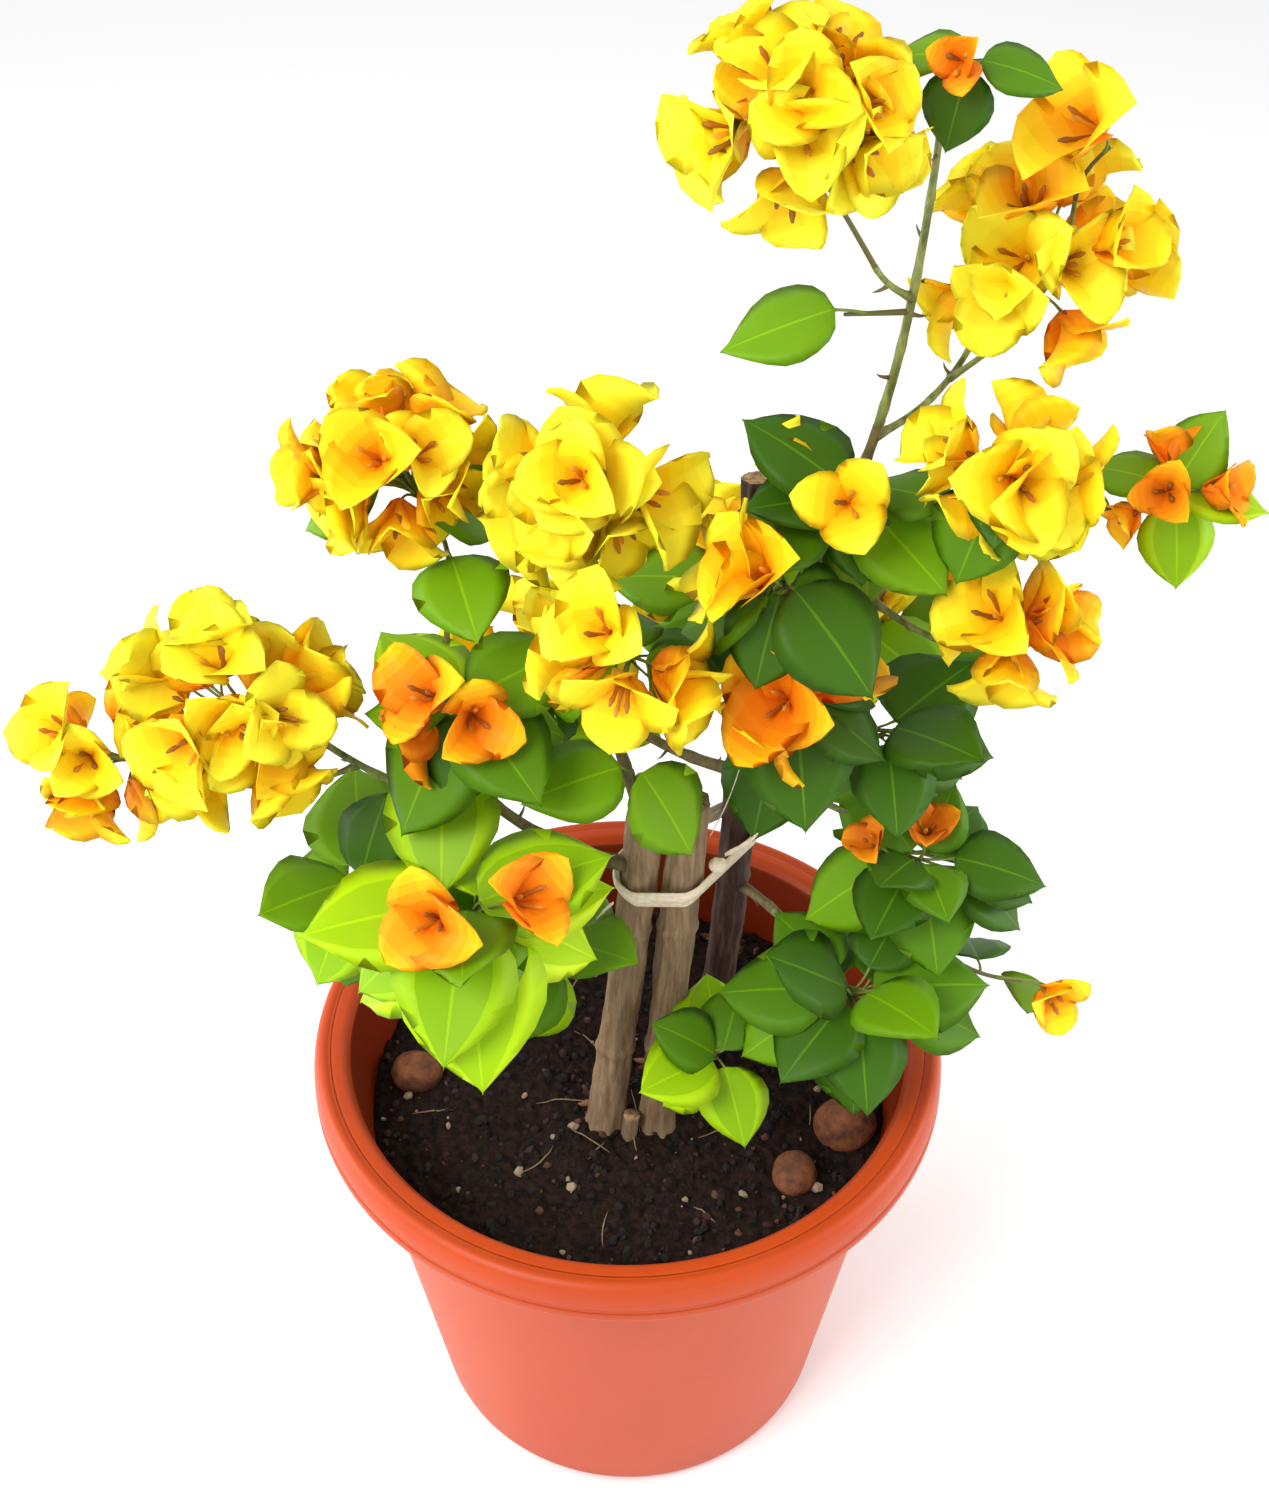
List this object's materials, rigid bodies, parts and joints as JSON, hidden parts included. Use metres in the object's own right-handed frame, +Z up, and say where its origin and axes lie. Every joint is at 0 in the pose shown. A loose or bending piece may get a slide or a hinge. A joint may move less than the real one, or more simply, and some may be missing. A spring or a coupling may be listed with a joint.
{
  "type": "potted bougainvillea bush",
  "caption": "Young bougainvillea with yellow to orange bracts, grown from tied cut canes in a tapered round plastic pot with a rolled rim.",
  "frame": {"origin": "centre of the pot's flat underside, which stands on the ground", "axes": "+Z up; +Y away from the viewer, with the two pale canes at the front; +X to the viewer's right, where the tall shoot rises"},
  "size_m": [0.4266, 0.258, 0.6185],
  "materials": {
    "terracotta_plastic": "moulded plastic in a terracotta colour, satin, with fine scuffs",
    "potting_soil": "moist dark crumbly soil with pale fibres and grit",
    "clay_stone": "rough brown clods and pebbles",
    "raffia": "pale dry raffia strip with lengthwise fibres",
    "grey_bark": "dry tan-grey bark with fine lengthwise cracks and nodes",
    "dark_bark": "dark brown bark with lengthwise ridges",
    "twig_bark": "young bark, brown to green",
    "bracts_and_leaves": "papery yellow to orange bracts and satin green leaves"
  },
  "bodies": {
    "root": {"pot": "terracotta_plastic", "soil": "potting_soil", "stone_right": "clay_stone", "stone_front": "clay_stone", "stone_left": "clay_stone", "tie": "raffia", "cane_left": "grey_bark", "cane_front": "grey_bark", "cane_dark": "dark_bark", "bough_tall": "twig_bark", "bough_truss_left": "twig_bark", "bough_truss_right": "twig_bark", "bough_single": "twig_bark", "bough_right": "twig_bark", "bough_right_out": "twig_bark", "bough_right_under": "twig_bark", "bough_right_mid": "twig_bark", "bough_right_low": "twig_bark", "bough_right_tip": "twig_bark", "bough_mid": "twig_bark", "bough_centre": "twig_bark", "bough_centre_low": "twig_bark", "bough_left": "twig_bark", "bough_left_fork": "twig_bark", "bough_far_left": "twig_bark", "bough_far_tip": "twig_bark", "bough_left_low": "twig_bark", "bough_left_side": "twig_bark", "bough_back_left": "twig_bark", "bough_back_mid": "twig_bark", "bough_back_right": "twig_bark", "spray_tip": "bracts_and_leaves", "spray_shoot": "bracts_and_leaves", "spray_truss_left": "bracts_and_leaves", "spray_truss_right": "bracts_and_leaves", "spray_single": "bracts_and_leaves", "spray_right_upper": "bracts_and_leaves", "spray_right_out": "bracts_and_leaves", "spray_right_under": "bracts_and_leaves", "spray_mid_low": "bracts_and_leaves", "spray_mid": "bracts_and_leaves", "spray_mid_upper": "bracts_and_leaves", "spray_right_leafy": "bracts_and_leaves", "spray_right_mid": "bracts_and_leaves", "spray_right_low": "bracts_and_leaves", "spray_right_tip": "bracts_and_leaves", "spray_crotch": "bracts_and_leaves", "spray_centre_top": "bracts_and_leaves", "spray_centre_low": "bracts_and_leaves", "spray_left_truss": "bracts_and_leaves", "spray_left_small": "bracts_and_leaves", "spray_far_left": "bracts_and_leaves", "spray_far_tip": "bracts_and_leaves", "spray_left_low": "bracts_and_leaves", "spray_left_side": "bracts_and_leaves", "spray_left_inner": "bracts_and_leaves", "spray_base": "bracts_and_leaves", "spray_back_left": "bracts_and_leaves", "spray_back_mid": "bracts_and_leaves", "spray_back_right": "bracts_and_leaves"}
  },
  "joints": []
}
